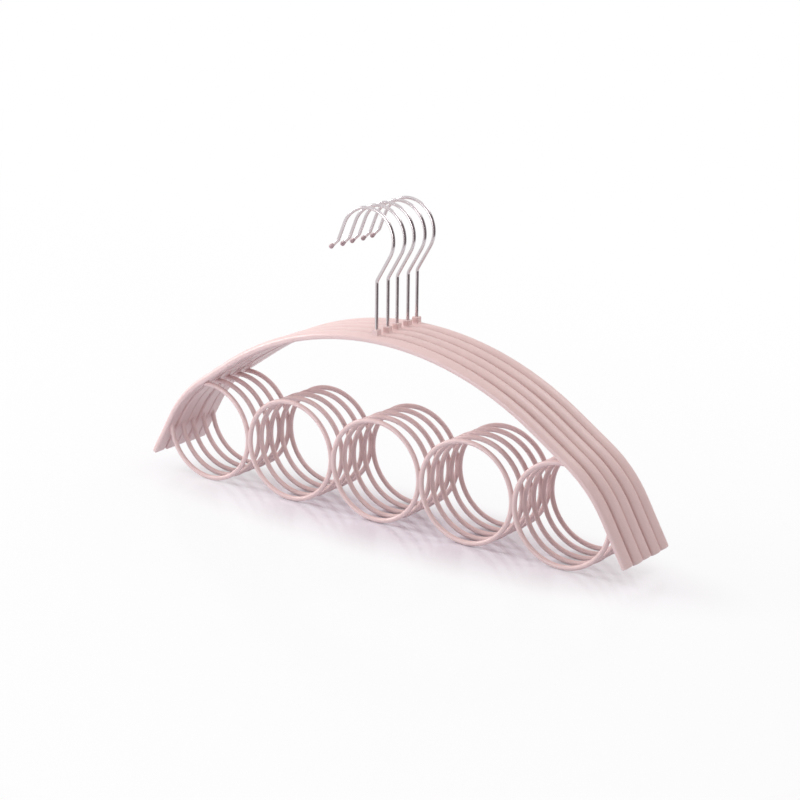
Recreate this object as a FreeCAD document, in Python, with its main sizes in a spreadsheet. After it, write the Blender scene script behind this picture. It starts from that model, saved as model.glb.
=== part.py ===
import FreeCAD
import Part
import Sketcher
import math
import os
from FreeCAD import Placement, Rotation, Vector

# Set of five scarf hangers, nested one behind another and standing on their rings.
# +X runs along the hangers, +Y goes from the front hanger to the back one, +Z is up.
# The origin lies on the table, under the middle of the set.

doc = FreeCAD.newDocument("ScarfHangerSet")

# Driving sizes in millimetres and degrees

DRIVING_SIZES = {
    # Arm strip: the path is that of its underside, from the crown to the tip
    "strip_width": 10.6,
    "strip_thickness": 5.2,
    "strip_crown": 2.1,
    "strip_upper_round": 2.0,
    "strip_lower_round": 1.2,
    "tip_round": 1.1,
    "crown_radius": 222.5,
    "crown_angle": 34.7,
    "haunch_length": 31.5,
    "shoulder_radius": 89.5,
    "end_angle": 61.0,
    "end_length": 35.9,
    "tip_lift": 11.8,
    # Dip coat on strip and rings
    "coat_thickness": 0.6,
    # Rings
    "ring_wire": 3.5,
    "weld_bite": 0.65,
    "end_ring_seat": 3.8,
    # Socket block and hook
    "socket_width": 5.0,
    "socket_height": 3.9,
    "socket_round": 0.6,
    "hook_wire": 2.4,
    "shank_clearance": 0.05,
    "shank_rise": 32.4,
    "kink_radius": 5.0,
    "neck_angle": 30.5,
    "neck_length": 19.1,
    "bow_radius": 21.0,
    "leg_angle": 22.0,
    "leg_length": 12.5,
    "flick_radius": 2.5,
    "flick_angle": 48.0,
    "flick_length": 7.5,
    "bead_diameter": 3.4,
    "collar_diameter": 5.6,
    "collar_thickness": 1.0,
    "collar_clearance": 0.3,
    # How the hangers stand: gaps between neighbouring strips, sideways stagger
    "wide_gap": 0.45,
    "narrow_gap": 0.3,
    "stagger": 1.7,
    # How far a cut runs past what it cuts
    "overrun": 2.0,
}

RING_COUNT = 5
STAGGER_SHARES = (-1.0, -0.1, 0.05, 0.9, 1.0)
# For each hanger, how many strip widths, wide gaps and narrow gaps it stands from the middle
STEPS_FROM_MIDDLE = ((-2, -1, -1), (-1, 0, -1), (0, 0, 0), (1, 1, 0), (2, 1, 1))

sheet = doc.addObject("Spreadsheet::Sheet", "Sizes")
for row, (alias, number) in enumerate(DRIVING_SIZES.items(), start=1):
    sheet.set(f"A{row}", alias)
    sheet.set(f"B{row}", str(number))
    sheet.setAlias(f"B{row}", alias)
doc.recompute()

size = {alias: float(sheet.get(alias)) for alias in DRIVING_SIZES}

# Sizes that follow from the driving ones, as numbers and as expressions

crown_turn = math.radians(size["crown_angle"])
end_turn = math.radians(size["end_angle"])
neck_turn = math.radians(size["neck_angle"])
leg_turn = math.radians(size["leg_angle"])
flick_turn = math.radians(size["flick_angle"])

SIN_CROWN = "sin(Sizes.crown_angle * 1 deg)"
COS_CROWN = "cos(Sizes.crown_angle * 1 deg)"
SIN_END = "sin(Sizes.end_angle * 1 deg)"
COS_END = "cos(Sizes.end_angle * 1 deg)"

shoulder_end_x = (
    size["crown_radius"] * math.sin(crown_turn)
    + size["haunch_length"] * math.cos(crown_turn)
    + size["shoulder_radius"] * (math.sin(end_turn) - math.sin(crown_turn))
)
SHOULDER_END_X = (
    f"(Sizes.crown_radius * {SIN_CROWN} + Sizes.haunch_length * {COS_CROWN}"
    f" + Sizes.shoulder_radius * ({SIN_END} - {SIN_CROWN}))"
)
shoulder_end_z = size["tip_lift"] + size["end_length"] * math.sin(end_turn)
SHOULDER_END_Z = f"(Sizes.tip_lift + Sizes.end_length * {SIN_END})"

arch_height = (
    shoulder_end_z
    + size["shoulder_radius"] * (math.cos(crown_turn) - math.cos(end_turn))
    + size["haunch_length"] * math.sin(crown_turn)
    + size["crown_radius"] * (1 - math.cos(crown_turn))
)
ARCH_HEIGHT = (
    f"({SHOULDER_END_Z} + Sizes.shoulder_radius * ({COS_CROWN} - {COS_END})"
    f" + Sizes.haunch_length * {SIN_CROWN} + Sizes.crown_radius * (1 - {COS_CROWN}))"
)

# The row of rings fills the arch: at mid height the end rings reach end_ring_seat past the underside
end_slope = math.cos(end_turn) / math.sin(end_turn)
weld_bites = (RING_COUNT - 1) * size["weld_bite"]
arch_reach = shoulder_end_x + shoulder_end_z * end_slope + size["end_ring_seat"]
ring_outer = 2 * (arch_reach + weld_bites) / (RING_COUNT + end_slope)
RING_OUTER = (
    f"(2 * ({SHOULDER_END_X} + {SHOULDER_END_Z} * {COS_END} / {SIN_END} + Sizes.end_ring_seat"
    f" + {RING_COUNT - 1} * Sizes.weld_bite) / ({RING_COUNT} + {COS_END} / {SIN_END}))"
)
RING_PITCH = f"({RING_OUTER} - 2 * Sizes.weld_bite)"
CORE_WIRE = "(Sizes.ring_wire - 2 * Sizes.coat_thickness)"

SOCKET_TOP = f"({ARCH_HEIGHT} + Sizes.strip_thickness + Sizes.socket_height)"
socket_top = arch_height + size["strip_thickness"] + size["socket_height"]

CROWN_ARC = "(Sizes.strip_width ^ 2 / (8 * Sizes.strip_crown) + Sizes.strip_crown / 2)"
crown_arc = size["strip_width"] ** 2 / (8 * size["strip_crown"]) + size["strip_crown"] / 2


# Small helpers of the document

def origin_plane(body, role):
    for feature in body.Origin.OriginFeatures:
        if feature.Role == role:
            return feature


def new_sketch(body, name, role):
    sketch = body.newObject("Sketcher::SketchObject", name)
    sketch.AttachmentSupport = [(origin_plane(body, role), "")]
    sketch.MapMode = "FlatFace"
    return sketch


def bind(thing, **expressions):
    """Ties properties, written with __ for a dot, to expressions over the sheet."""
    for name, expression in expressions.items():
        thing.setExpression(name.replace("__", "."), expression)


def dimension(sketch, kind, *where, label, value, expression):
    """Adds a named size to a sketch and ties it to the sheet."""
    index = sketch.addConstraint(Sketcher.Constraint(kind, *where, value))
    sketch.renameConstraint(index, label)
    sketch.setExpression(f"Constraints.{label}", expression)


def join_tangent(sketch, joints):
    for first, first_end, second, second_end in joints:
        sketch.addConstraint(Sketcher.Constraint("Tangent", first, first_end, second, second_end))


def line(start, end):
    return Part.LineSegment(Vector(*start, 0), Vector(*end, 0))


def arc(centre, radius, start_turn, end_turn_of_arc):
    circle = Part.Circle(Vector(*centre, 0), Vector(0, 0, 1), radius)
    return Part.ArcOfCircle(circle, start_turn, end_turn_of_arc)


def boolean(kind, name, base, tool):
    result = doc.addObject(f"Part::{kind}", name)
    result.Base = base
    result.Tool = tool
    return result


def stand(thing, place, x="0", z="0"):
    """Puts an object at its place in a hanger, and the hanger at its place in the set."""
    bind(thing, Placement__Base__x=f"{place['x']} + {x}", Placement__Base__y=place["y"], Placement__Base__z=z)


UPRIGHT = Rotation(Vector(1, 0, 0), 90)
START, END, CENTRE = 1, 2, 3
ORIGIN, HORIZONTAL_AXIS, VERTICAL_AXIS = -1, -1, -2


# Arm: a strip swept along the arch

def arch_path(body, inset, INSET):
    """Path of the strip's underside from left tip to right tip, shorter by inset at each end."""
    sketch = new_sketch(body, f"{body.Name}_path", "XZ_Plane")
    end_length = size["end_length"] - inset
    crown_centre_z = arch_height - size["crown_radius"]
    haunch_start = (
        size["crown_radius"] * math.sin(crown_turn),
        crown_centre_z + size["crown_radius"] * math.cos(crown_turn),
    )
    haunch_end = (
        haunch_start[0] + size["haunch_length"] * math.cos(crown_turn),
        haunch_start[1] - size["haunch_length"] * math.sin(crown_turn),
    )
    shoulder_centre = (
        haunch_end[0] - size["shoulder_radius"] * math.sin(crown_turn),
        haunch_end[1] - size["shoulder_radius"] * math.cos(crown_turn),
    )
    shoulder_end = (shoulder_end_x, shoulder_end_z)
    tip = (
        shoulder_end_x + end_length * math.cos(end_turn),
        shoulder_end_z - end_length * math.sin(end_turn),
    )

    def left(point):
        return (-point[0], point[1])

    up = math.pi / 2
    sketch.addGeometry([
        line(left(tip), left(shoulder_end)),
        arc(left(shoulder_centre), size["shoulder_radius"], up + crown_turn, up + end_turn),
        line(left(haunch_end), left(haunch_start)),
        arc((0, crown_centre_z), size["crown_radius"], up - crown_turn, up + crown_turn),
        line(haunch_start, haunch_end),
        arc(shoulder_centre, size["shoulder_radius"], up - end_turn, up - crown_turn),
        line(shoulder_end, tip),
    ])
    left_end, left_shoulder, left_haunch, crown, right_haunch, right_shoulder, right_end = range(7)
    join_tangent(sketch, (
        (left_end, END, left_shoulder, END),
        (left_shoulder, START, left_haunch, START),
        (left_haunch, END, crown, END),
        (crown, START, right_haunch, START),
        (right_haunch, END, right_shoulder, END),
        (right_shoulder, START, right_end, START),
    ))
    dimension(sketch, "Radius", crown, label="crown_radius",
              value=size["crown_radius"], expression="Sizes.crown_radius")
    sides = (
        ("left", left_end, left_shoulder, left_haunch, 1),
        ("right", right_end, right_shoulder, right_haunch, -1),
    )
    for side, end_line, shoulder, haunch, rising in sides:
        dimension(sketch, "Radius", shoulder, label=f"{side}_shoulder_radius",
                  value=size["shoulder_radius"], expression="Sizes.shoulder_radius")
        dimension(sketch, "Distance", haunch, label=f"{side}_haunch_length",
                  value=size["haunch_length"], expression="Sizes.haunch_length")
        dimension(sketch, "Distance", end_line, label=f"{side}_end_length",
                  value=end_length, expression=f"Sizes.end_length - {INSET}")
        dimension(sketch, "Angle", haunch, label=f"{side}_crown_angle",
                  value=rising * crown_turn, expression=f"{rising} * Sizes.crown_angle * 1 deg")
        dimension(sketch, "Angle", end_line, label=f"{side}_end_angle",
                  value=rising * end_turn, expression=f"{rising} * Sizes.end_angle * 1 deg")
    sketch.addConstraint(Sketcher.Constraint("PointOnObject", crown, CENTRE, VERTICAL_AXIS))
    dimension(sketch, "DistanceY", ORIGIN, START, right_end, END, label="tip_height",
              value=tip[1], expression=f"Sizes.tip_lift + {INSET} * {SIN_END}")
    return sketch


def section_sketch(body, INSET):
    """Empty sketch across the strip at its left tip: X across the strip, Y out of its underside."""
    sketch = new_sketch(body, f"{body.Name}_section", "YZ_Plane")
    bind(
        sketch,
        AttachmentOffset__Base__y=f"Sizes.tip_lift + {INSET} * {SIN_END}",
        AttachmentOffset__Base__z=f"-({SHOULDER_END_X} + (Sizes.end_length - {INSET}) * {COS_END})",
    )
    sketch.AttachmentOffset = Placement(Vector(), Rotation(Vector(1, 0, 0), -size["end_angle"]))
    return sketch


def set_base_height(sketch, base, inset, INSET):
    """Puts the section's flat base on the underside's line, or inset above it."""
    if inset:
        dimension(sketch, "DistanceY", ORIGIN, START, base, START, label="base_height",
                  value=inset, expression=INSET)
    else:
        sketch.addConstraint(Sketcher.Constraint("PointOnObject", base, START, HORIZONTAL_AXIS))


def strip_section(body, inset, INSET):
    """Flat below, crowned above, rounded at the edges, drawn in by inset all round."""
    sketch = section_sketch(body, INSET)
    half = size["strip_width"] / 2
    lower = size["strip_lower_round"]
    upper = size["strip_upper_round"]
    crown_centre = (0, size["strip_thickness"] - crown_arc)
    upper_reach = half - upper
    upper_height = crown_centre[1] + math.sqrt((crown_arc - upper) ** 2 - upper_reach ** 2)
    lean = math.atan2(upper_height - crown_centre[1], upper_reach)
    right_angle = math.pi / 2
    side = half - inset
    sketch.addGeometry([
        line((lower - half, inset), (half - lower, inset)),
        arc((half - lower, lower), lower - inset, -right_angle, 0),
        line((side, lower), (side, upper_height)),
        arc((upper_reach, upper_height), upper - inset, 0, lean),
        arc(crown_centre, crown_arc - inset, lean, math.pi - lean),
        arc((-upper_reach, upper_height), upper - inset, math.pi - lean, math.pi),
        line((-side, upper_height), (-side, lower)),
        arc((lower - half, lower), lower - inset, math.pi, math.pi + right_angle),
    ])
    count = 8
    join_tangent(sketch, [(edge, END, (edge + 1) % count, START) for edge in range(count)])
    base, lower_right, right, upper_right, crown, upper_left, left, lower_left = range(count)
    sketch.addConstraint(Sketcher.Constraint("Equal", lower_right, lower_left))
    sketch.addConstraint(Sketcher.Constraint("Equal", upper_right, upper_left))
    sketch.addConstraint(Sketcher.Constraint("Vertical", right))
    sketch.addConstraint(Sketcher.Constraint("Vertical", left))
    sketch.addConstraint(Sketcher.Constraint("PointOnObject", crown, CENTRE, VERTICAL_AXIS))
    sketch.addConstraint(Sketcher.Constraint("Symmetric", base, START, base, END, VERTICAL_AXIS))
    dimension(sketch, "Radius", lower_right, label="lower_round",
              value=lower - inset, expression=f"Sizes.strip_lower_round - {INSET}")
    dimension(sketch, "Radius", upper_right, label="upper_round",
              value=upper - inset, expression=f"Sizes.strip_upper_round - {INSET}")
    dimension(sketch, "Radius", crown, label="crown_arc",
              value=crown_arc - inset, expression=f"{CROWN_ARC} - {INSET}")
    dimension(sketch, "DistanceX", left, START, right, START, label="width",
              value=2 * side, expression=f"Sizes.strip_width - 2 * {INSET}")
    dimension(sketch, "DistanceY", crown, CENTRE, base, START, label="crown_depth",
              value=inset - crown_centre[1], expression=f"{INSET} + {CROWN_ARC} - Sizes.strip_thickness")
    set_base_height(sketch, base, inset, INSET)
    return sketch


def outside_section(body, inset, INSET):
    """Everything outside the strip's underside, as a wide band that clears the end rings."""
    sketch = section_sketch(body, INSET)
    side = size["strip_width"]
    top = inset + ring_outer
    corners = ((-side, inset), (side, inset), (side, top), (-side, top))
    for corner in range(4):
        sketch.addGeometry(line(corners[corner], corners[(corner + 1) % 4]))
    for edge in range(4):
        sketch.addConstraint(Sketcher.Constraint("Coincident", edge, END, (edge + 1) % 4, START))
    base, right, upper, left = range(4)
    sketch.addConstraint(Sketcher.Constraint("Horizontal", upper))
    for edge in (right, left):
        sketch.addConstraint(Sketcher.Constraint("Vertical", edge))
    sketch.addConstraint(Sketcher.Constraint("Symmetric", base, START, base, END, VERTICAL_AXIS))
    dimension(sketch, "DistanceX", base, START, base, END, label="width",
              value=2 * side, expression="2 * Sizes.strip_width")
    dimension(sketch, "DistanceY", right, START, right, END, label="reach",
              value=ring_outer, expression=RING_OUTER)
    set_base_height(sketch, base, inset, INSET)
    return sketch


def sweep_along_arch(name, place, section, inset, INSET):
    body = doc.addObject("PartDesign::Body", name)
    path = arch_path(body, inset, INSET)
    profile = section(body, inset, INSET)
    doc.recompute()
    pipe = body.newObject("PartDesign::AdditivePipe", f"{name}_sweep")
    pipe.Profile = profile
    pipe.Spine = path
    stand(body, place)
    return body


# An edge counts as lying on a face when its ends are nearer than this share of a round
ON_FACE_SHARE = 0.01


def round_tips(body):
    """Rounds the edges of the two end faces, which stand square to the strip at its tips."""
    doc.recompute()
    sweep = body.Tip
    tip_x = shoulder_end_x + size["end_length"] * math.cos(end_turn)
    edges = []
    for side in (-1, 1):
        tip = Vector(side * tip_x, 0, size["tip_lift"])
        along = Vector(side * math.cos(end_turn), 0, -math.sin(end_turn))
        for number, edge in enumerate(sweep.Shape.Edges, start=1):
            heights = [abs((vertex.Point - tip).dot(along)) for vertex in edge.Vertexes]
            if max(heights) < size["tip_round"] * ON_FACE_SHARE:
                edges.append(f"Edge{number}")
    fillet = body.newObject("PartDesign::Fillet", f"{body.Name}_tips")
    fillet.Base = (sweep, edges)
    bind(fillet, Radius="Sizes.tip_round")


# Hook: one wire bent along lines and arcs in the hanger's plane

def hook_path(body):
    sketch = new_sketch(body, f"{body.Name}_path", "XZ_Plane")
    foot = (0, arch_height)
    shank_top = (0, socket_top + size["shank_rise"])
    kink_centre = (size["kink_radius"], shank_top[1])
    neck_start = (
        kink_centre[0] - size["kink_radius"] * math.cos(neck_turn),
        kink_centre[1] + size["kink_radius"] * math.sin(neck_turn),
    )
    neck_end = (
        neck_start[0] + size["neck_length"] * math.sin(neck_turn),
        neck_start[1] + size["neck_length"] * math.cos(neck_turn),
    )
    bow_centre = (
        neck_end[0] - size["bow_radius"] * math.cos(neck_turn),
        neck_end[1] + size["bow_radius"] * math.sin(neck_turn),
    )
    leg_start = (
        bow_centre[0] - size["bow_radius"] * math.cos(leg_turn),
        bow_centre[1] + size["bow_radius"] * math.sin(leg_turn),
    )
    leg_end = (
        leg_start[0] - size["leg_length"] * math.sin(leg_turn),
        leg_start[1] - size["leg_length"] * math.cos(leg_turn),
    )
    flick_centre = (
        leg_end[0] - size["flick_radius"] * math.cos(leg_turn),
        leg_end[1] + size["flick_radius"] * math.sin(leg_turn),
    )
    flick_start = (
        flick_centre[0] + size["flick_radius"] * math.cos(flick_turn),
        flick_centre[1] - size["flick_radius"] * math.sin(flick_turn),
    )
    flick_end = (
        flick_start[0] - size["flick_length"] * math.sin(flick_turn),
        flick_start[1] - size["flick_length"] * math.cos(flick_turn),
    )
    sketch.addGeometry([
        line(foot, shank_top),
        arc(kink_centre, size["kink_radius"], math.pi - neck_turn, math.pi),
        line(neck_start, neck_end),
        arc(bow_centre, size["bow_radius"], -neck_turn, math.pi - leg_turn),
        line(leg_start, leg_end),
        arc(flick_centre, size["flick_radius"], -flick_turn, -leg_turn),
        line(flick_start, flick_end),
    ])
    shank, kink, neck, bow, leg, flick_bend, flick = range(7)
    join_tangent(sketch, (
        (shank, END, kink, END),
        (kink, START, neck, START),
        (neck, END, bow, START),
        (bow, END, leg, START),
        (leg, END, flick_bend, END),
        (flick_bend, START, flick, START),
    ))
    sketch.addConstraint(Sketcher.Constraint("PointOnObject", shank, START, VERTICAL_AXIS))
    sketch.addConstraint(Sketcher.Constraint("Vertical", shank))
    dimension(sketch, "DistanceY", ORIGIN, START, shank, START, label="foot_height",
              value=foot[1], expression=ARCH_HEIGHT)
    dimension(sketch, "DistanceY", ORIGIN, START, shank, END, label="shank_height",
              value=shank_top[1], expression=f"{SOCKET_TOP} + Sizes.shank_rise")
    for edge, label in ((kink, "kink_radius"), (bow, "bow_radius"), (flick_bend, "flick_radius")):
        dimension(sketch, "Radius", edge, label=label, value=size[label], expression=f"Sizes.{label}")
    for edge, label in ((neck, "neck_length"), (leg, "leg_length"), (flick, "flick_length")):
        dimension(sketch, "Distance", edge, label=label, value=size[label], expression=f"Sizes.{label}")
    quarter = math.pi / 2
    dimension(sketch, "Angle", neck, label="neck_angle",
              value=quarter - neck_turn, expression="90 deg - Sizes.neck_angle * 1 deg")
    dimension(sketch, "Angle", leg, label="leg_angle",
              value=-quarter - leg_turn, expression="-90 deg - Sizes.leg_angle * 1 deg")
    dimension(sketch, "Angle", flick, label="flick_angle",
              value=-quarter - flick_turn, expression="-90 deg - Sizes.flick_angle * 1 deg")
    return sketch, flick_end


def bent_hook(name, place):
    body = doc.addObject("PartDesign::Body", name)
    path, path_end = hook_path(body)
    section = new_sketch(body, f"{name}_section", "XY_Plane")
    bind(section, AttachmentOffset__Base__z=ARCH_HEIGHT)
    section.addGeometry(Part.Circle(Vector(), Vector(0, 0, 1), size["hook_wire"] / 2))
    section.addConstraint(Sketcher.Constraint("Coincident", 0, CENTRE, ORIGIN, START))
    dimension(section, "Diameter", 0, label="wire", value=size["hook_wire"], expression="Sizes.hook_wire")
    doc.recompute()
    wire = body.newObject("PartDesign::AdditivePipe", f"{name}_wire")
    wire.Profile = section
    wire.Spine = path
    stand(body, place)
    return body, path_end


def round_bar(name, place, diameter, height, bottom):
    bar = doc.addObject("Part::Cylinder", name)
    bind(bar, Radius=f"({diameter}) / 2", Height=height)
    stand(bar, place, z=bottom)
    return bar


# One hanger after another

sub_parts = []


def finish(thing, label):
    thing.Label = label
    sub_parts.append(thing)


def make_rings(hanger, place, outside_arm, outside_core):
    """Five wire rings side by side, trimmed at the welds; the end rings stop at the arm's underside."""
    cores = []
    for ring in range(RING_COUNT):
        name = f"{hanger}_ring_{ring + 1}"
        steps = ring - (RING_COUNT - 1) / 2
        x = f"{RING_PITCH} * {steps}"
        z = f"{RING_OUTER} / 2"
        outer_end = "" if 0 < ring < RING_COUNT - 1 else "Sizes.ring_wire + "
        weld_box = doc.addObject("Part::Box", f"{name}_between_welds")
        bind(weld_box, Length=f"{outer_end}{RING_PITCH}", Width="2 * Sizes.ring_wire", Height=RING_OUTER)
        box_start = f"{x} - {RING_PITCH} / 2" + (" - Sizes.ring_wire" if ring == 0 else "")
        bind(
            weld_box,
            Placement__Base__x=f"{place['x']} + {box_start}",
            Placement__Base__y=f"{place['y']} - Sizes.ring_wire",
        )
        # The hoop's seam lies at a weld
        seam_turn = 180 if ring == RING_COUNT - 1 else 0
        layers = {}
        wires = (("coat", "Sizes.ring_wire", outside_arm), ("core", CORE_WIRE, outside_core))
        for layer, wire, outside in wires:
            hoop = doc.addObject("Part::Torus", f"{name}_{layer}_hoop")
            bind(hoop, Radius1=f"({RING_OUTER} - Sizes.ring_wire) / 2", Radius2=f"{wire} / 2")
            hoop.Placement = Placement(Vector(), UPRIGHT * Rotation(Vector(0, 0, 1), seam_turn))
            stand(hoop, place, x=x, z=z)
            layers[layer] = boolean("Common", f"{name}_{layer}_welded", hoop, weld_box)
            layers[layer + "_hoop"] = hoop
            if outer_end:
                layers[layer] = boolean("Cut", f"{name}_{layer}_seated", layers[layer], outside)
        finish(boolean("Cut", name, layers["coat"], layers["core_hoop"]), name)
        cores.append(layers["core"])
    group = doc.addObject("Part::Compound", f"{hanger}_ring_cores")
    group.Links = cores
    finish(group, f"{hanger}_ring_cores")
    return cores


def make_hanger(number):
    hanger = f"hanger_{number}"
    widths, wide, narrow = STEPS_FROM_MIDDLE[number - 1]
    place = {
        "x": f"Sizes.stagger * {STAGGER_SHARES[number - 1]}",
        "y": f"Sizes.strip_width * {widths} + Sizes.wide_gap * {wide} + Sizes.narrow_gap * {narrow}",
    }
    coat = size["coat_thickness"]
    COAT = "Sizes.coat_thickness"

    arm_form = sweep_along_arch(f"{hanger}_arm_form", place, strip_section, 0, "0")
    round_tips(arm_form)
    core_form = sweep_along_arch(f"{hanger}_core_form", place, strip_section, coat, COAT)
    outside_arm = sweep_along_arch(f"{hanger}_outside_arm", place, outside_section, 0, "0")
    outside_core = sweep_along_arch(f"{hanger}_outside_core", place, outside_section, coat, COAT)
    ring_cores = make_rings(hanger, place, outside_arm, outside_core)

    # Shank hole through the crown, with a recess below for the collar
    hole = round_bar(
        f"{hanger}_shank_hole", place, "Sizes.hook_wire + 2 * Sizes.shank_clearance",
        "Sizes.strip_thickness + Sizes.socket_height + 2 * Sizes.overrun", f"{ARCH_HEIGHT} - Sizes.overrun",
    )
    recess = round_bar(
        f"{hanger}_collar_recess", place, "Sizes.collar_diameter + 2 * Sizes.collar_clearance",
        "Sizes.collar_thickness + Sizes.overrun", f"{ARCH_HEIGHT} - Sizes.overrun",
    )
    swivel_hole = boolean("Fuse", f"{hanger}_swivel_hole", hole, recess)
    finish(boolean("Cut", f"{hanger}_arm_core", core_form, swivel_hole), f"{hanger}_arm_core")
    arm = boolean("Cut", f"{hanger}_arm_shell", arm_form, core_form)
    arm = boolean("Cut", f"{hanger}_arm_drilled", arm, swivel_hole)
    arm = boolean("Cut", f"{hanger}_arm_left_weld", arm, ring_cores[0])
    finish(boolean("Cut", f"{hanger}_arm", arm, ring_cores[-1]), f"{hanger}_arm")

    # Socket block, seated on the crowned strip
    block = doc.addObject("PartDesign::Body", f"{hanger}_socket_block")
    outline = new_sketch(block, f"{hanger}_socket_outline", "XY_Plane")
    bind(outline, AttachmentOffset__Base__z=f"{ARCH_HEIGHT} + Sizes.strip_thickness / 2")
    side = size["socket_width"] / 2
    corners = ((-side, -side), (side, -side), (side, side), (-side, side))
    for corner in range(4):
        outline.addGeometry(line(corners[corner], corners[(corner + 1) % 4]))
    for edge in range(4):
        outline.addConstraint(Sketcher.Constraint("Coincident", edge, END, (edge + 1) % 4, START))
    for edge in (0, 2):
        outline.addConstraint(Sketcher.Constraint("Horizontal", edge))
        outline.addConstraint(Sketcher.Constraint("Vertical", edge + 1))
    outline.addConstraint(Sketcher.Constraint("Symmetric", 0, START, 1, END, ORIGIN, START))
    dimension(outline, "DistanceX", 0, START, 0, END, label="width",
              value=2 * side, expression="Sizes.socket_width")
    dimension(outline, "DistanceY", 1, START, 1, END, label="depth",
              value=2 * side, expression="Sizes.socket_width")
    pad = block.newObject("PartDesign::Pad", f"{hanger}_socket_pad")
    pad.Profile = outline
    bind(pad, Length="Sizes.socket_height + Sizes.strip_thickness / 2")
    doc.recompute()
    upper_edges = []
    for number_of_edge, edge in enumerate(pad.Shape.Edges, start=1):
        if max(vertex.Z for vertex in edge.Vertexes) > arch_height + size["strip_thickness"]:
            upper_edges.append(f"Edge{number_of_edge}")
    fillet = block.newObject("PartDesign::Fillet", f"{hanger}_socket_edges")
    fillet.Base = (pad, upper_edges)
    bind(fillet, Radius="Sizes.socket_round")
    stand(block, place)
    seated = boolean("Cut", f"{hanger}_socket_seated", block, arm_form)
    finish(boolean("Cut", f"{hanger}_hook_socket", seated, hole), f"{hanger}_hook_socket")

    # Hook, bead on its end, collar on its foot
    hook, path_end = bent_hook(f"{hanger}_hook", place)
    finish(hook, f"{hanger}_hook")
    ball = doc.addObject("Part::Sphere", f"{hanger}_bead_ball")
    bind(ball, Radius="Sizes.bead_diameter / 2")
    along_flick = Rotation(Vector(0, 1, 0), size["flick_angle"])
    on_wire_end = Placement(Vector(path_end[0], 0, path_end[1]), along_flick)
    doc.recompute()
    ball.Placement = hook.Placement * on_wire_end
    finish(boolean("Cut", f"{hanger}_hook_tip", ball, hook), f"{hanger}_hook_tip")
    disc = round_bar(
        f"{hanger}_collar_disc", place, "Sizes.collar_diameter", "Sizes.collar_thickness", ARCH_HEIGHT,
    )
    finish(boolean("Cut", f"{hanger}_hook_collar", disc, hook), f"{hanger}_hook_collar")


for hanger_number in range(1, len(STAGGER_SHARES) + 1):
    make_hanger(hanger_number)
doc.recompute()

for thing in doc.Objects:
    if "Invalid" in thing.State or "Error" in thing.State:
        raise RuntimeError(f"{thing.Label} failed: {thing.State}")
for thing in sub_parts:
    if thing.Shape.isNull() or not thing.Shape.isValid():
        raise RuntimeError(f"{thing.Label} has no valid shape")

os.makedirs("parts", exist_ok=True)
for thing in sub_parts:
    thing.Shape.exportStep(f"parts/{thing.Label}.step")
    print(thing.Label, len(thing.Shape.Solids), "solids", round(thing.Shape.Volume, 2), "mm3")
print("ring outer diameter", round(ring_outer, 2), "arch height", round(arch_height, 2))
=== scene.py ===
import math

import bmesh
import bpy
from mathutils import Matrix, Vector


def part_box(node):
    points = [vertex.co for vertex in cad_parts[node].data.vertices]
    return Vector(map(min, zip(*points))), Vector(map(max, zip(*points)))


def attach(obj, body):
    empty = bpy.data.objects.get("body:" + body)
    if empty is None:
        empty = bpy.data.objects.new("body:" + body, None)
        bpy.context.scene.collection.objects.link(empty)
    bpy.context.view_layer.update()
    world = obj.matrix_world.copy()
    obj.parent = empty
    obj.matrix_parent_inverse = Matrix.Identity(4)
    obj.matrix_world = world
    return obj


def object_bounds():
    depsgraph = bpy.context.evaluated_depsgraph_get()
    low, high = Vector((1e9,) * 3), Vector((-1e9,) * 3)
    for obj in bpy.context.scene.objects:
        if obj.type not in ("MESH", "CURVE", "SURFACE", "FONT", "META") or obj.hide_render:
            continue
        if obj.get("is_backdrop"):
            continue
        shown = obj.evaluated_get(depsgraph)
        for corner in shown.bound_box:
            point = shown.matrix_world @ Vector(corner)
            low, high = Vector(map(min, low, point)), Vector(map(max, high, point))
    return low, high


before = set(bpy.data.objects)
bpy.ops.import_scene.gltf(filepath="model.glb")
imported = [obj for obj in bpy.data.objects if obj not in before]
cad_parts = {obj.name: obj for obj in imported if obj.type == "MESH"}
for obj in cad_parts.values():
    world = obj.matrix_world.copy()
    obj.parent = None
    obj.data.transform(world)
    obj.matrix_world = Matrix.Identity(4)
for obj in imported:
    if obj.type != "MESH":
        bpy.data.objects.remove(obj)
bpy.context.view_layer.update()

# Arms: a crowned steel strip bent to a shallow arch and dipped in soft vinyl.
# The dip leaves an even satin skin with a fine orange peel, and faint runs
# down the slopes where the wet coat drained towards the tips.
MM = 0.001
HANGERS = (1, 2, 3, 4, 5)
COAT_PALE, COAT_DEEP = "#E7CBCA", "#E1C4C3"
MOTTLE_PATCH = 45 * MM
MOTTLE_DETAIL = 3.0
RUN_SPACING = 5 * MM
RUN_STRETCH = 9.0
RUN_DETAIL = 2.0
DEEPEST_SUM, PALEST_SUM = 0.6, 1.4
PEEL_GRAIN = 1.1 * MM
PEEL_DEPTH = 0.02 * MM
PEEL_DETAIL = 1.0
PEEL_STRENGTH_SHARE = 0.5
VINYL_SMOOTHEST, VINYL_ROUGHEST = 0.3, 0.4
VINYL_IOR = 1.5


def linear(hex_colour):
    """An sRGB hex value as the linear colour that a shader takes."""
    channels = [int(hex_colour[place:place + 2], 16) / 255 for place in (1, 3, 5)]
    return [
        channel / 12.92 if channel <= 0.04045 else ((channel + 0.055) / 1.055) ** 2.4
        for channel in channels
    ] + [1.0]


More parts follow.
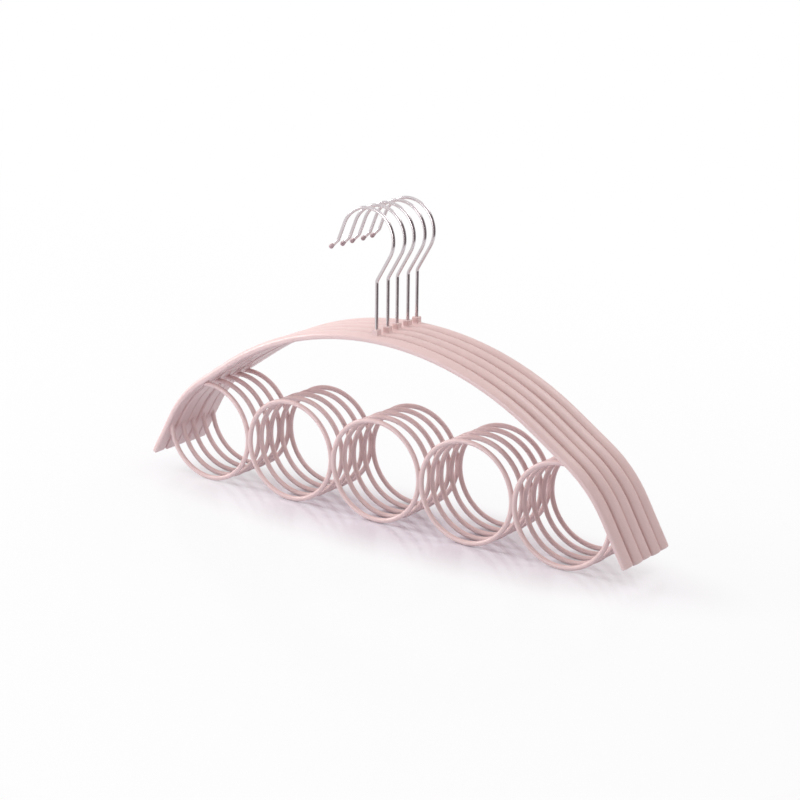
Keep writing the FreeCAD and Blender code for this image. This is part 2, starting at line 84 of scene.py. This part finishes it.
def add(tree, kind, sockets=(), **settings):
    """Adds a node with its settings; a socket takes a plain value, or another node's output to link."""
    made = tree.nodes.new("ShaderNode" + kind)
    for name, value in settings.items():
        setattr(made, name, value)
    for name, value in dict(sockets).items():
        if isinstance(value, bpy.types.NodeSocket):
            tree.links.new(value, made.inputs[name])
        else:
            made.inputs[name].default_value = value
    return made


def new_material(name):
    """An empty node material with its Principled shader wired to the output."""
    material = bpy.data.materials.new(name)
    material.use_nodes = True
    tree = material.node_tree
    tree.nodes.clear()
    shader = add(tree, "BsdfPrincipled")
    add(tree, "OutputMaterial", {"Surface": shader.outputs["BSDF"]})
    return material, tree, shader


def dipped_vinyl(name, pale, deep):
    """Plastisol dip coat: satin, evenly coloured but for a soft mottle, with a fine orange peel."""
    material, tree, shader = new_material(name)
    place = add(tree, "TexCoord").outputs["Object"]
    mottle = add(tree, "TexNoise", {"Vector": place, "Scale": 1 / MOTTLE_PATCH, "Detail": MOTTLE_DETAIL})
    drained = add(tree, "Mapping", {"Vector": place, "Scale": (1, 1, 1 / RUN_STRETCH)})
    runs = add(
        tree, "TexNoise",
        {"Vector": drained.outputs[0], "Scale": 1 / RUN_SPACING, "Detail": RUN_DETAIL},
    )
    both = add(tree, "Math", {0: mottle.outputs[0], 1: runs.outputs[0]}, operation="ADD")
    share = add(
        tree, "MapRange",
        {"Value": both.outputs[0], "From Min": DEEPEST_SUM, "From Max": PALEST_SUM},
    )
    colour = add(
        tree, "Mix", {0: share.outputs[0], 6: linear(deep), 7: linear(pale)}, data_type="RGBA",
    )
    tree.links.new(colour.outputs[2], shader.inputs["Base Color"])
    gloss = add(
        tree, "MapRange",
        {"Value": runs.outputs[0], "To Min": VINYL_SMOOTHEST, "To Max": VINYL_ROUGHEST},
    )
    tree.links.new(gloss.outputs[0], shader.inputs["Roughness"])
    peel = add(tree, "TexNoise", {"Vector": place, "Scale": 1 / PEEL_GRAIN, "Detail": PEEL_DETAIL})
    bump = add(
        tree, "Bump",
        {"Height": peel.outputs[0], "Strength": PEEL_STRENGTH_SHARE, "Distance": PEEL_DEPTH},
    )
    tree.links.new(bump.outputs[0], shader.inputs["Normal"])
    shader.inputs["IOR"].default_value = VINYL_IOR
    return material


def finish_node(node, material):
    """Gives a frame node its material."""
    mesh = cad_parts[node].data
    mesh.materials.clear()
    mesh.materials.append(material)


coat = dipped_vinyl("dusty_pink_vinyl_dip", COAT_PALE, COAT_DEEP)
for hanger in HANGERS:
    finish_node(f"hanger_{hanger}_arm", coat)

# Rings: five wires bent to hoops, welded side by side and under the arm's ends, then dipped
# with the arm in one go. The wet coat gathers in the notch at each weld and dries there
# to a smooth fillet.
RING_NUMBERS = (1, 2, 3, 4, 5)
MIDDLE_RING = 3
END_RINGS = (1, 5)
JOINT_PITCH_SHARES = (-1.5, -0.5, 0.5, 1.5)
JOINT_SHARES = (0.74, 0.93, 1.26)
SEAT_SHARES = (3.6, 1.3, 0.85)
SEAT_INSET = math.radians(4)
BALL_SEGMENTS, BALL_RINGS = 24, 16


def add_ellipsoid(shape, matrix):
    """A smooth ball, stretched and placed by a matrix."""
    bmesh.ops.create_uvsphere(
        shape, u_segments=BALL_SEGMENTS, v_segments=BALL_RINGS, radius=1, matrix=matrix,
    )


def add_piece(name, shape, material, body):
    """Turns a finished bmesh into a piece that moves with a body of the frame."""
    for face in shape.faces:
        face.smooth = True
    bmesh.ops.recalc_face_normals(shape, faces=shape.faces)
    mesh = bpy.data.meshes.new(name)
    shape.to_mesh(mesh)
    shape.free()
    mesh.materials.append(material)
    piece = bpy.data.objects.new(name, mesh)
    bpy.context.scene.collection.objects.link(piece)
    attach(piece, body)


def open_ends(node, centre):
    """The two angles at which an open hoop's wire ends, a little way in from each end."""
    points = [vertex.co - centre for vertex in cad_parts[node].data.vertices]
    angles = sorted(math.atan2(point.z, point.x) for point in points)
    following = angles[1:] + [angles[0] + math.tau]
    gaps = [(after - before, before, after) for before, after in zip(angles, following)]
    _, before, after = max(gaps)
    return before - SEAT_INSET, after + SEAT_INSET


for hanger in HANGERS:
    for ring in RING_NUMBERS:
        finish_node(f"hanger_{hanger}_ring_{ring}", coat)
    low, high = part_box(f"hanger_{hanger}_ring_{MIDDLE_RING}")
    middle = (low + high) / 2
    pitch = middle.x - sum(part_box(f"hanger_{hanger}_ring_{MIDDLE_RING - 1}"), Vector()).x / 2
    wire = (high.y - low.y) / 2
    hoop = (high.z - low.z) / 2 - wire
    parting = math.sqrt(hoop ** 2 - (pitch / 2 - wire) ** 2)
    shape = bmesh.new()
    for pitch_share in JOINT_PITCH_SHARES:
        sizes = [share * size for share, size in zip(JOINT_SHARES, (wire, wire, parting))]
        joint = Matrix.Translation(middle + Vector((pitch_share * pitch, 0, 0)))
        add_ellipsoid(shape, joint @ Matrix.Diagonal((*sizes, 1)))
    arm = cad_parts[f"hanger_{hanger}_arm"]
    for ring in END_RINGS:
        centre = middle + Vector(((ring - MIDDLE_RING) * pitch, 0, 0))
        for angle in open_ends(f"hanger_{hanger}_ring_{ring}", centre):
            near_end = centre + hoop * Vector((math.cos(angle), 0, math.sin(angle)))
            _, seat, out, _ = arm.closest_point_on_mesh(near_end)
            across = Vector((0, 1, 0))
            turn = Matrix((across.cross(out), across, out)).transposed().to_4x4()
            sizes = [share * wire for share in SEAT_SHARES]
            add_ellipsoid(shape, Matrix.Translation(seat) @ turn @ Matrix.Diagonal((*sizes, 1)))
    add_piece(f"weld_fillets_{hanger}", shape, coat, f"hanger_{hanger}")

# Sockets: the square block on the crown that each hook turns in, dipped with the rest,
# so a fillet of coat runs round its foot and follows the crowned strip.
BLOCK_CORNER = 0.6 * MM
FOOT_FILLET = 0.6 * MM
FOOT_DEPTH = 0.15 * MM
CORNER_TURN = math.radians(90)
BLOCK_CORNERS = 4
CORNER_POINTS = 6
SIDE_POINTS = 5
FILLET_STEPS = 5


def block_outline(middle, half, offset):
    """Points round a square block with rounded corners, a given offset out from its faces."""
    inner = half - BLOCK_CORNER
    reach = BLOCK_CORNER + offset
    points = []
    for corner_number in range(BLOCK_CORNERS):
        turn = Matrix.Rotation(CORNER_TURN * corner_number, 2)
        for place in range(CORNER_POINTS):
            angle = CORNER_TURN * place / (CORNER_POINTS - 1)
            corner = Vector((inner + reach * math.cos(angle), inner + reach * math.sin(angle)))
            points.append(middle + turn @ corner)
        for place in range(1, SIDE_POINTS):
            along = inner - 2 * inner * place / SIDE_POINTS
            points.append(middle + turn @ Vector((along, inner + reach)))
    return points


for hanger in HANGERS:
    finish_node(f"hanger_{hanger}_hook_socket", coat)
    low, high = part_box(f"hanger_{hanger}_hook_socket")
    middle = (low + high) / 2
    half = (high.x - low.x) / 2
    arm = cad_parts[f"hanger_{hanger}_arm"]
    profile = []
    for step in range(FILLET_STEPS + 1):
        angle = CORNER_TURN * step / FILLET_STEPS
        profile.append((FOOT_FILLET * (1 - math.sin(angle)), FOOT_FILLET * (1 - math.cos(angle))))
    profile.append((-FOOT_DEPTH, FOOT_FILLET))
    profile.append((-FOOT_DEPTH, -FOOT_DEPTH))
    profile.append((FOOT_FILLET, -FOOT_DEPTH))
    shape = bmesh.new()
    loops = []
    for offset, rise in profile:
        loop = []
        for point in block_outline(middle.to_2d(), half, offset):
            above = point.to_3d() + Vector((0, 0, high.z))
            _, ground, _, _ = arm.ray_cast(above, Vector((0, 0, -1)))
            loop.append(shape.verts.new(ground + Vector((0, 0, rise))))
        loops.append(loop)
    for loop, other in zip(loops, loops[1:] + loops[:1]):
        for place, vertex in enumerate(loop):
            before = place - 1
            shape.faces.new((loop[before], vertex, other[place], other[before]))
    add_piece(f"socket_fillet_{hanger}", shape, coat, f"hanger_{hanger}")

# Cores: bare drawn steel inside the coat, and the retaining collar pressed on the hook's foot,
# zinc plated. Both are out of sight unless a hanger is turned over or cut open.
STEEL_PALE, STEEL_DEEP = "#B9B8B4", "#8F8D8A"
DRAW_LINE = 0.5 * MM
DRAW_STRETCH = 30.0
DRAW_DETAIL = 2.0
STEEL_SMOOTHEST, STEEL_ROUGHEST = 0.28, 0.45
steel, tree, shader = new_material("drawn_zinc_plated_steel")
place = add(tree, "TexCoord").outputs["Object"]
along = add(tree, "Mapping", {"Vector": place, "Scale": (1, 1, 1 / DRAW_STRETCH)})
lines = add(
    tree, "TexNoise", {"Vector": along.outputs[0], "Scale": 1 / DRAW_LINE, "Detail": DRAW_DETAIL},
)
colour = add(
    tree, "Mix", {0: lines.outputs[0], 6: linear(STEEL_DEEP), 7: linear(STEEL_PALE)}, data_type="RGBA",
)
tree.links.new(colour.outputs[2], shader.inputs["Base Color"])
gloss = add(
    tree, "MapRange",
    {"Value": lines.outputs[0], "To Min": STEEL_SMOOTHEST, "To Max": STEEL_ROUGHEST},
)
tree.links.new(gloss.outputs[0], shader.inputs["Roughness"])
shader.inputs["Metallic"].default_value = 1.0
for hanger in HANGERS:
    for piece in ("arm_core", "ring_cores", "hook_collar"):
        finish_node(f"hanger_{hanger}_{piece}", steel)

# Hooks: one steel wire bent to a question mark and bright chrome plated.
# The plating follows the drawn wire, so it has a little haze in long patches.
CHROME_PALE, CHROME_DEEP = "#DAD2D4", "#C6BDC0"
HAZE_PATCH = 6 * MM
HAZE_DETAIL = 4.0
CHROME_SMOOTHEST, CHROME_ROUGHEST = 0.10, 0.22
chrome, tree, shader = new_material("bright_chrome_plate")
place = add(tree, "TexCoord").outputs["Object"]
haze = add(tree, "TexNoise", {"Vector": place, "Scale": 1 / HAZE_PATCH, "Detail": HAZE_DETAIL})
colour = add(
    tree, "Mix", {0: haze.outputs[0], 6: linear(CHROME_DEEP), 7: linear(CHROME_PALE)}, data_type="RGBA",
)
tree.links.new(colour.outputs[2], shader.inputs["Base Color"])
gloss = add(
    tree, "MapRange",
    {"Value": haze.outputs[0], "To Min": CHROME_SMOOTHEST, "To Max": CHROME_ROUGHEST},
)
tree.links.new(gloss.outputs[0], shader.inputs["Roughness"])
shader.inputs["Metallic"].default_value = 1.0
for hanger in HANGERS:
    finish_node(f"hanger_{hanger}_hook", chrome)

# Beads: each hook's cut end is dipped once more in a browner vinyl, which dries to a round bead
# with a thin neck of coat drawn up the wire.
BEAD_PALE, BEAD_DEEP = "#BBA0A4", "#A98E92"
NECK_PLACE_SHARES = (0.45, 0.8, 1.15, 1.5, 1.9)
NECK_LIFT_SHARES = (0.26, 0.165, 0.085, 0.04, 0.01)
NECK_CORE_SHARE = 0.8
SPIN_STEPS = 32
bead = dipped_vinyl("mauve_vinyl_bead", BEAD_PALE, BEAD_DEEP)
for hanger in HANGERS:
    finish_node(f"hanger_{hanger}_hook_tip", bead)
    low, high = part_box(f"hanger_{hanger}_hook_tip")
    middle = (low + high) / 2
    ball = (high.x - low.x) / 2
    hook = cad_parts[f"hanger_{hanger}_hook"]
    rim = [vertex.co - middle for vertex in hook.data.vertices if (vertex.co - middle).length < ball]
    wire = rim[0].length
    along = max((rim[0].cross(other) for other in rim), key=lambda cross: cross.length).normalized()
    along *= math.copysign(1, along.dot(sum(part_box(f"hanger_{hanger}_hook"), Vector()) / 2 - middle))
    side = rim[0].normalized()
    outline = [(place, 1 + lift) for place, lift in zip(NECK_PLACE_SHARES, NECK_LIFT_SHARES)]
    outline += [(NECK_PLACE_SHARES[-1], NECK_CORE_SHARE), (NECK_PLACE_SHARES[0], NECK_CORE_SHARE)]
    shape = bmesh.new()
    corners = [
        shape.verts.new(middle + along * place * ball + side * girth * wire)
        for place, girth in outline
    ]
    edges = [shape.edges.new((corners[place - 1], corners[place])) for place in range(len(corners))]
    bmesh.ops.spin(
        shape, geom=corners + edges, cent=middle, axis=along, angle=math.tau,
        steps=SPIN_STEPS, use_merge=True,
    )
    add_piece(f"bead_neck_{hanger}", shape, bead, f"hook_{hanger}")

# Table: a white lacquered top with a soft sheen. Under and in front of the hangers it takes
# their shadow and a faint reflection. Round them it fades to nearly white, and far off to white.
TABLE_SIDE = 12.0
TABLE_WHITE, TABLE_BOUNCE = "#E6E0EA", "#DDE3EE"
SHADOW_CENTRE = Vector((0.02, -0.015, 0))
SHADOW_REACH = Vector((0.27, 0.068, 1))
FADE_START_SHARE, FADE_END_SHARE, FAR_END_SHARE = 0.2, 1.05, 12.0
NEAR_WHITE_SHARE = 0.88
LACQUER_ROUGHNESS = 0.15
LACQUER_IOR = 1.45


def rays_seen(tree):
    """One for a ray that shows the surroundings as they look: straight, mirrored or through glass."""
    rays = add(tree, "LightPath")
    straight = rays.outputs["Is Camera Ray"]
    mirrored = rays.outputs["Is Glossy Ray"]
    through = rays.outputs["Is Transmission Ray"]
    seen = add(tree, "Math", {0: straight, 1: mirrored}, operation="MAXIMUM")
    return add(tree, "Math", {0: seen.outputs[0], 1: through}, operation="MAXIMUM").outputs[0]


top, tree, shader = new_material("white_lacquer")
place = add(tree, "TexCoord").outputs["Object"]
seen = rays_seen(tree)
colour = add(tree, "Mix", {0: seen, 6: linear(TABLE_BOUNCE), 7: linear(TABLE_WHITE)}, data_type="RGBA")
tree.links.new(colour.outputs[2], shader.inputs["Base Color"])
shader.inputs["Roughness"].default_value = LACQUER_ROUGHNESS
shader.inputs["IOR"].default_value = LACQUER_IOR
from_middle = add(tree, "VectorMath", {0: place, 1: SHADOW_CENTRE}, operation="SUBTRACT")
scaled = add(tree, "VectorMath", {0: from_middle.outputs[0], 1: SHADOW_REACH}, operation="DIVIDE")
distance = add(tree, "VectorMath", {0: scaled.outputs[0]}, operation="LENGTH").outputs["Value"]
fades = [
    add(
        tree, "MapRange",
        {"Value": distance, "From Min": start, "From Max": end, "To Max": white_gained},
        interpolation_type="SMOOTHSTEP",
    )
    for start, end, white_gained in (
        (FADE_START_SHARE, FADE_END_SHARE, NEAR_WHITE_SHARE),
        (FADE_END_SHARE, FAR_END_SHARE, 1 - NEAR_WHITE_SHARE),
    )
]
whole_fade = add(tree, "Math", {0: fades[0].outputs[0], 1: fades[1].outputs[0]}, operation="ADD")
white_share = add(tree, "Math", {0: seen, 1: whole_fade.outputs[0]}, operation="MULTIPLY")
white = add(tree, "Emission")
blend = add(tree, "MixShader", {0: white_share.outputs[0], 1: shader.outputs[0], 2: white.outputs[0]})
output = next(node for node in tree.nodes if node.type == "OUTPUT_MATERIAL")
tree.links.new(blend.outputs[0], output.inputs["Surface"])
shape = bmesh.new()
bmesh.ops.create_grid(shape, x_segments=1, y_segments=1, size=TABLE_SIDE / 2)
mesh = bpy.data.meshes.new("table_top")
shape.to_mesh(mesh)
shape.free()
mesh.materials.append(top)
table = bpy.data.objects.new("table_top", mesh)
bpy.context.scene.collection.objects.link(table)
table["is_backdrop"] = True

# Camera: a long lens from the right and a little above, as in the photograph.
CAMERA_AZIMUTH = math.radians(34.04)
CAMERA_ELEVATION = math.radians(17.55)
CAMERA_ROLL = math.radians(-0.67)
CAMERA_DISTANCE = 1.3633
AIM_FROM_FRONT_HANGER = Vector((0.0199, 0, 0.0932))
SENSOR_WIDTH, LENS = 36.0, 90.0
back = Vector((
    math.sin(CAMERA_AZIMUTH) * math.cos(CAMERA_ELEVATION),
    -math.cos(CAMERA_AZIMUTH) * math.cos(CAMERA_ELEVATION),
    math.sin(CAMERA_ELEVATION),
))
camera_data = bpy.data.cameras.new("camera")
camera_data.sensor_width = SENSOR_WIDTH
camera_data.lens = LENS
camera = bpy.data.objects.new("camera", camera_data)
camera.rotation_mode = "QUATERNION"
level = (-back).to_track_quat("-Z", "Y")
camera.rotation_quaternion = level @ Matrix.Rotation(-CAMERA_ROLL, 3, "Z").to_quaternion()
front = sum(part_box("hanger_1_arm"), Vector()) / 2
camera.location = front * Vector((1, 1, 0)) + AIM_FROM_FRONT_HANGER + back * CAMERA_DISTANCE
bpy.context.scene.collection.objects.link(camera)
bpy.context.scene.camera = camera
bpy.context.scene.view_settings.view_transform = "Standard"

# Light: a pale room that is bright on its left and right and dark between, with a broad lamp
# on the left, a low one in front and a weak one behind. A curved grey card round the right
# and the front is there for the chrome: it shows only where there is a sheen, and gives no shade.
ROOM_PALE, ROOM_DARK = "#F8F4F0", "#080808"
ROOM_STRENGTH = 1.1
ROOM_BRIGHT_SIDE = Vector((0.72, 0, 0.69))
ROOM_DARK_FACING, ROOM_PALE_FACING = 0.35, 1.0
WHITE = (1, 1, 1, 1)
BLACK = (0, 0, 0, 1)
LAMPS = {
    "key_lamp": (Vector((-1.3, -0.3, 0.75)), 11.3),
    "front_lamp": (Vector((-0.35, -1.4, 0.2)), 7.3),
    "rim_lamp": (Vector((0.4, 0.8, 1.0)), 3.6),
}
LAMP_SIDE = 0.6
CARD_RADIUS = 0.45
CARD_LOW, CARD_HIGH = 0.0, 0.55
CARD_START = math.radians(-85)
CARD_END = math.radians(60)
CARD_STEPS = 24
CARD_GREY = "#70686A"
world = bpy.data.worlds.new("white_room")
bpy.context.scene.world = world
world.use_nodes = True
tree = world.node_tree
tree.nodes.clear()
toward = add(tree, "TexCoord").outputs["Generated"]
either_side = add(tree, "VectorMath", {0: toward}, operation="ABSOLUTE")
facing = add(
    tree, "VectorMath", {0: either_side.outputs[0], 1: ROOM_BRIGHT_SIDE}, operation="DOT_PRODUCT",
)
turned = add(
    tree, "MapRange",
    {"Value": facing.outputs["Value"], "From Min": ROOM_DARK_FACING, "From Max": ROOM_PALE_FACING},
    interpolation_type="SMOOTHSTEP",
)
walls = add(
    tree, "Mix", {0: turned.outputs[0], 6: linear(ROOM_DARK), 7: linear(ROOM_PALE)}, data_type="RGBA",
)
fill = add(tree, "Background", {"Color": walls.outputs[2], "Strength": ROOM_STRENGTH})
backdrop = add(tree, "Background", {"Color": WHITE, "Strength": 1.0})
room = add(tree, "MixShader", {0: rays_seen(tree), 1: fill.outputs[0], 2: backdrop.outputs[0]})
add(tree, "OutputWorld", {"Surface": room.outputs[0]})
for name, (place, power) in LAMPS.items():
    lamp_data = bpy.data.lights.new(name, "AREA")
    lamp_data.shape = "SQUARE"
    lamp_data.size = LAMP_SIDE
    lamp_data.energy = power
    lamp = bpy.data.objects.new(name, lamp_data)
    lamp.location = place
    lamp.rotation_mode = "QUATERNION"
    lamp.rotation_quaternion = (-place).to_track_quat("-Z", "Y")
    bpy.context.scene.collection.objects.link(lamp)
card_grey, tree, shader = new_material("grey_card")
shader.inputs["Base Color"].default_value = BLACK
shader.inputs["Emission Color"].default_value = linear(CARD_GREY)
shader.inputs["Emission Strength"].default_value = 1.0
shape = bmesh.new()
start = Vector((CARD_RADIUS * math.cos(CARD_START), CARD_RADIUS * math.sin(CARD_START), 0))
ends = [shape.verts.new(start + Vector((0, 0, height))) for height in (CARD_LOW, CARD_HIGH)]
upright = shape.edges.new(ends)
bmesh.ops.spin(
    shape, geom=ends + [upright], cent=(0, 0, 0), axis=(0, 0, 1),
    angle=CARD_END - CARD_START, steps=CARD_STEPS,
)
mesh = bpy.data.meshes.new("grey_card")
shape.to_mesh(mesh)
shape.free()
mesh.materials.append(card_grey)
card = bpy.data.objects.new("grey_card", mesh)
card.visible_camera = False
card.visible_diffuse = False
card.visible_shadow = False
card.visible_transmission = False
bpy.context.scene.collection.objects.link(card)
card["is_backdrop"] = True

low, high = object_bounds()
